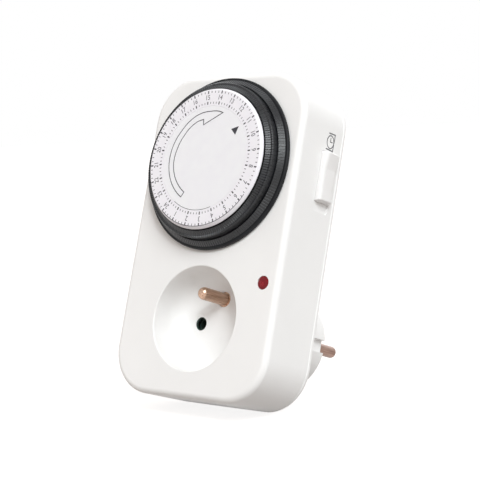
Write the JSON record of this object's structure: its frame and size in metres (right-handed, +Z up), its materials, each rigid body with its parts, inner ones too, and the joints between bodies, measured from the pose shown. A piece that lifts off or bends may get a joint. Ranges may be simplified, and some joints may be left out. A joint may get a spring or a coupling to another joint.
{
  "type": "plug-in timer switch",
  "caption": "Plug-in mains timer switch: a round clock dial with push-in tappets over a recessed socket, with a mains plug behind.",
  "frame": {"origin": "middle of the plug's end face, halfway between its two pins", "axes": "+Y out of the plug towards the wall outlet, +Z up, +X to the right seen from the front"},
  "size_m": [0.0774, 0.0871, 0.124],
  "materials": {
    "housing_white": "glossy moulded plastic",
    "dial_black": "satin moulded plastic with fine ribs",
    "tappet_black": "satin moulded plastic",
    "ring_white": "satin, printed",
    "plate_white": "satin, printed",
    "knob_white": "glossy moulded plastic",
    "lens_red": "glossy, slightly translucent",
    "pin_copper": "worn coppery brass",
    "brass": "bright",
    "copper": "satin",
    "steel": "zinc plated",
    "motor_steel": "satin",
    "gear_plastic": "natural acetal",
    "gear_plate": "satin",
    "lever_plastic": "satin",
    "glass": "clear",
    "resistor": "lacquered"
  },
  "bodies": {
    "housing": {"front_shell": "housing_white", "rear_cover": "housing_white", "rear_screws": "steel", "centre_plate": "plate_white", "gear_plate": "gear_plate", "plate_screws": "steel", "dial_spindle": "steel", "reduction_arbor": "steel", "motor_can": "motor_steel", "lever_pin": "steel", "fixed_contact": "copper", "override_contacts": "copper", "lamp_lens": "lens_red", "neon_lamp": "glass", "lamp_resistor": "resistor", "live_sleeve": "brass", "neutral_sleeve": "brass", "earth_pin": "pin_copper", "earth_strip": "brass", "earth_clip_top": "brass", "earth_clip_bottom": "brass", "plug_earth_sleeve": "brass", "plug_pin_live": "pin_copper", "plug_pin_neutral": "pin_copper", "live_bar": "brass", "switched_bar": "brass", "neutral_bar": "brass"},
    "dial": {"dial_carrier": "dial_black", "number_ring": "ring_white", "dial_gear": "gear_plastic"},
    "reduction": {"reduction_gear": "gear_plastic"},
    "motor_shaft": {"motor_pinion": "brass"},
    "lever": {"switch_lever": "lever_plastic"},
    "leaf": {"contact_leaf": "copper"},
    "mode_slide": {"mode_knob": "knob_white", "bridge_contact": "copper"},
    "tappets_00": {"tappets_00": "tappet_black"},
    "tappets_01": {"tappets_01": "tappet_black"},
    "tappets_02": {"tappets_02": "tappet_black"},
    "tappets_03": {"tappets_03": "tappet_black"},
    "tappets_04": {"tappets_04": "tappet_black"},
    "tappets_05": {"tappets_05": "tappet_black"},
    "tappets_06": {"tappets_06": "tappet_black"},
    "tappets_07": {"tappets_07": "tappet_black"},
    "tappets_08": {"tappets_08": "tappet_black"},
    "tappets_09": {"tappets_09": "tappet_black"},
    "tappets_10": {"tappets_10": "tappet_black"},
    "tappets_11": {"tappets_11": "tappet_black"},
    "tappets_12": {"tappets_12": "tappet_black"},
    "tappets_13": {"tappets_13": "tappet_black"},
    "tappets_14": {"tappets_14": "tappet_black"},
    "tappets_15": {"tappets_15": "tappet_black"},
    "tappets_16": {"tappets_16": "tappet_black"},
    "tappets_17": {"tappets_17": "tappet_black"},
    "tappets_18": {"tappets_18": "tappet_black"},
    "tappets_19": {"tappets_19": "tappet_black"},
    "tappets_20": {"tappets_20": "tappet_black"},
    "tappets_21": {"tappets_21": "tappet_black"},
    "tappets_22": {"tappets_22": "tappet_black"},
    "tappets_23": {"tappets_23": "tappet_black"}
  },
  "joints": [
    {"name": "dial_turn", "type": "hinge", "parent": "housing", "child": "dial", "pos_m": [0, -0.0589, 0.059], "axis": [0, 1, 0], "continuous": true},
    {"name": "reduction_turn", "type": "hinge", "parent": "housing", "child": "reduction", "pos_m": [0.01266, -0.0589, 0.03707], "axis": [0, 1, 0], "continuous": true},
    {"name": "motor_turn", "type": "hinge", "parent": "housing", "child": "motor_shaft", "pos_m": [-0.00002, -0.0589, 0.04531], "axis": [0, 1, 0], "continuous": true},
    {"name": "mode_switch", "type": "slide", "parent": "housing", "child": "mode_slide", "axis": [0, 0, -1], "range_m": [0, 0.0034]},
    {"name": "lever_rock", "type": "hinge", "parent": "housing", "child": "lever", "pos_m": [0, -0.053, 0.037], "axis": [-1, 0, 0], "range_deg": [0, 5], "stiffness_Nm_per_rad": 0.02, "springref_deg": -2.86},
    {"name": "leaf_bend", "type": "hinge", "parent": "housing", "child": "leaf", "pos_m": [0, -0.0546, 0.006], "axis": [1, 0, 0], "range_deg": [0, 4.5]},
    {"name": "push_00", "type": "slide", "parent": "dial", "child": "tappets_00", "axis": [0, 1, 0], "range_m": [0, 0.0025]},
    {"name": "push_01", "type": "slide", "parent": "dial", "child": "tappets_01", "axis": [0, 1, 0], "range_m": [0, 0.0025]},
    {"name": "push_02", "type": "slide", "parent": "dial", "child": "tappets_02", "axis": [0, 1, 0], "range_m": [0, 0.0025]},
    {"name": "push_03", "type": "slide", "parent": "dial", "child": "tappets_03", "axis": [0, 1, 0], "range_m": [0, 0.0025]},
    {"name": "push_04", "type": "slide", "parent": "dial", "child": "tappets_04", "axis": [0, 1, 0], "range_m": [0, 0.0025]},
    {"name": "push_05", "type": "slide", "parent": "dial", "child": "tappets_05", "axis": [0, 1, 0], "range_m": [0, 0.0025]},
    {"name": "push_06", "type": "slide", "parent": "dial", "child": "tappets_06", "axis": [0, 1, 0], "range_m": [0, 0.0025]},
    {"name": "push_07", "type": "slide", "parent": "dial", "child": "tappets_07", "axis": [0, 1, 0], "range_m": [0, 0.0025]},
    {"name": "push_08", "type": "slide", "parent": "dial", "child": "tappets_08", "axis": [0, 1, 0], "range_m": [0, 0.0025]},
    {"name": "push_09", "type": "slide", "parent": "dial", "child": "tappets_09", "axis": [0, 1, 0], "range_m": [0, 0.0025]},
    {"name": "push_10", "type": "slide", "parent": "dial", "child": "tappets_10", "axis": [0, 1, 0], "range_m": [0, 0.0025]},
    {"name": "push_11", "type": "slide", "parent": "dial", "child": "tappets_11", "axis": [0, 1, 0], "range_m": [0, 0.0025]},
    {"name": "push_12", "type": "slide", "parent": "dial", "child": "tappets_12", "axis": [0, 1, 0], "range_m": [0, 0.0025]},
    {"name": "push_13", "type": "slide", "parent": "dial", "child": "tappets_13", "axis": [0, 1, 0], "range_m": [0, 0.0025]},
    {"name": "push_14", "type": "slide", "parent": "dial", "child": "tappets_14", "axis": [0, 1, 0], "range_m": [0, 0.0025]},
    {"name": "push_15", "type": "slide", "parent": "dial", "child": "tappets_15", "axis": [0, 1, 0], "range_m": [0, 0.0025]},
    {"name": "push_16", "type": "slide", "parent": "dial", "child": "tappets_16", "axis": [0, 1, 0], "range_m": [0, 0.0025]},
    {"name": "push_17", "type": "slide", "parent": "dial", "child": "tappets_17", "axis": [0, 1, 0], "range_m": [0, 0.0025]},
    {"name": "push_18", "type": "slide", "parent": "dial", "child": "tappets_18", "axis": [0, 1, 0], "range_m": [0, 0.0025]},
    {"name": "push_19", "type": "slide", "parent": "dial", "child": "tappets_19", "axis": [0, 1, 0], "range_m": [0, 0.0025]},
    {"name": "push_20", "type": "slide", "parent": "dial", "child": "tappets_20", "axis": [0, 1, 0], "range_m": [0, 0.0025]},
    {"name": "push_21", "type": "slide", "parent": "dial", "child": "tappets_21", "axis": [0, 1, 0], "range_m": [0, 0.0025]},
    {"name": "push_22", "type": "slide", "parent": "dial", "child": "tappets_22", "axis": [0, 1, 0], "range_m": [0, 0.0025]},
    {"name": "push_23", "type": "slide", "parent": "dial", "child": "tappets_23", "axis": [0, 1, 0], "range_m": [0, 0.0025]}
  ],
  "couplings": [
    {"joint": "reduction_turn", "follows": "dial_turn", "ratio": -6},
    {"joint": "motor_turn", "follows": "dial_turn", "ratio": 24},
    {"joint": "leaf_bend", "follows": "lever_rock", "ratio": 0.82353}
  ]
}
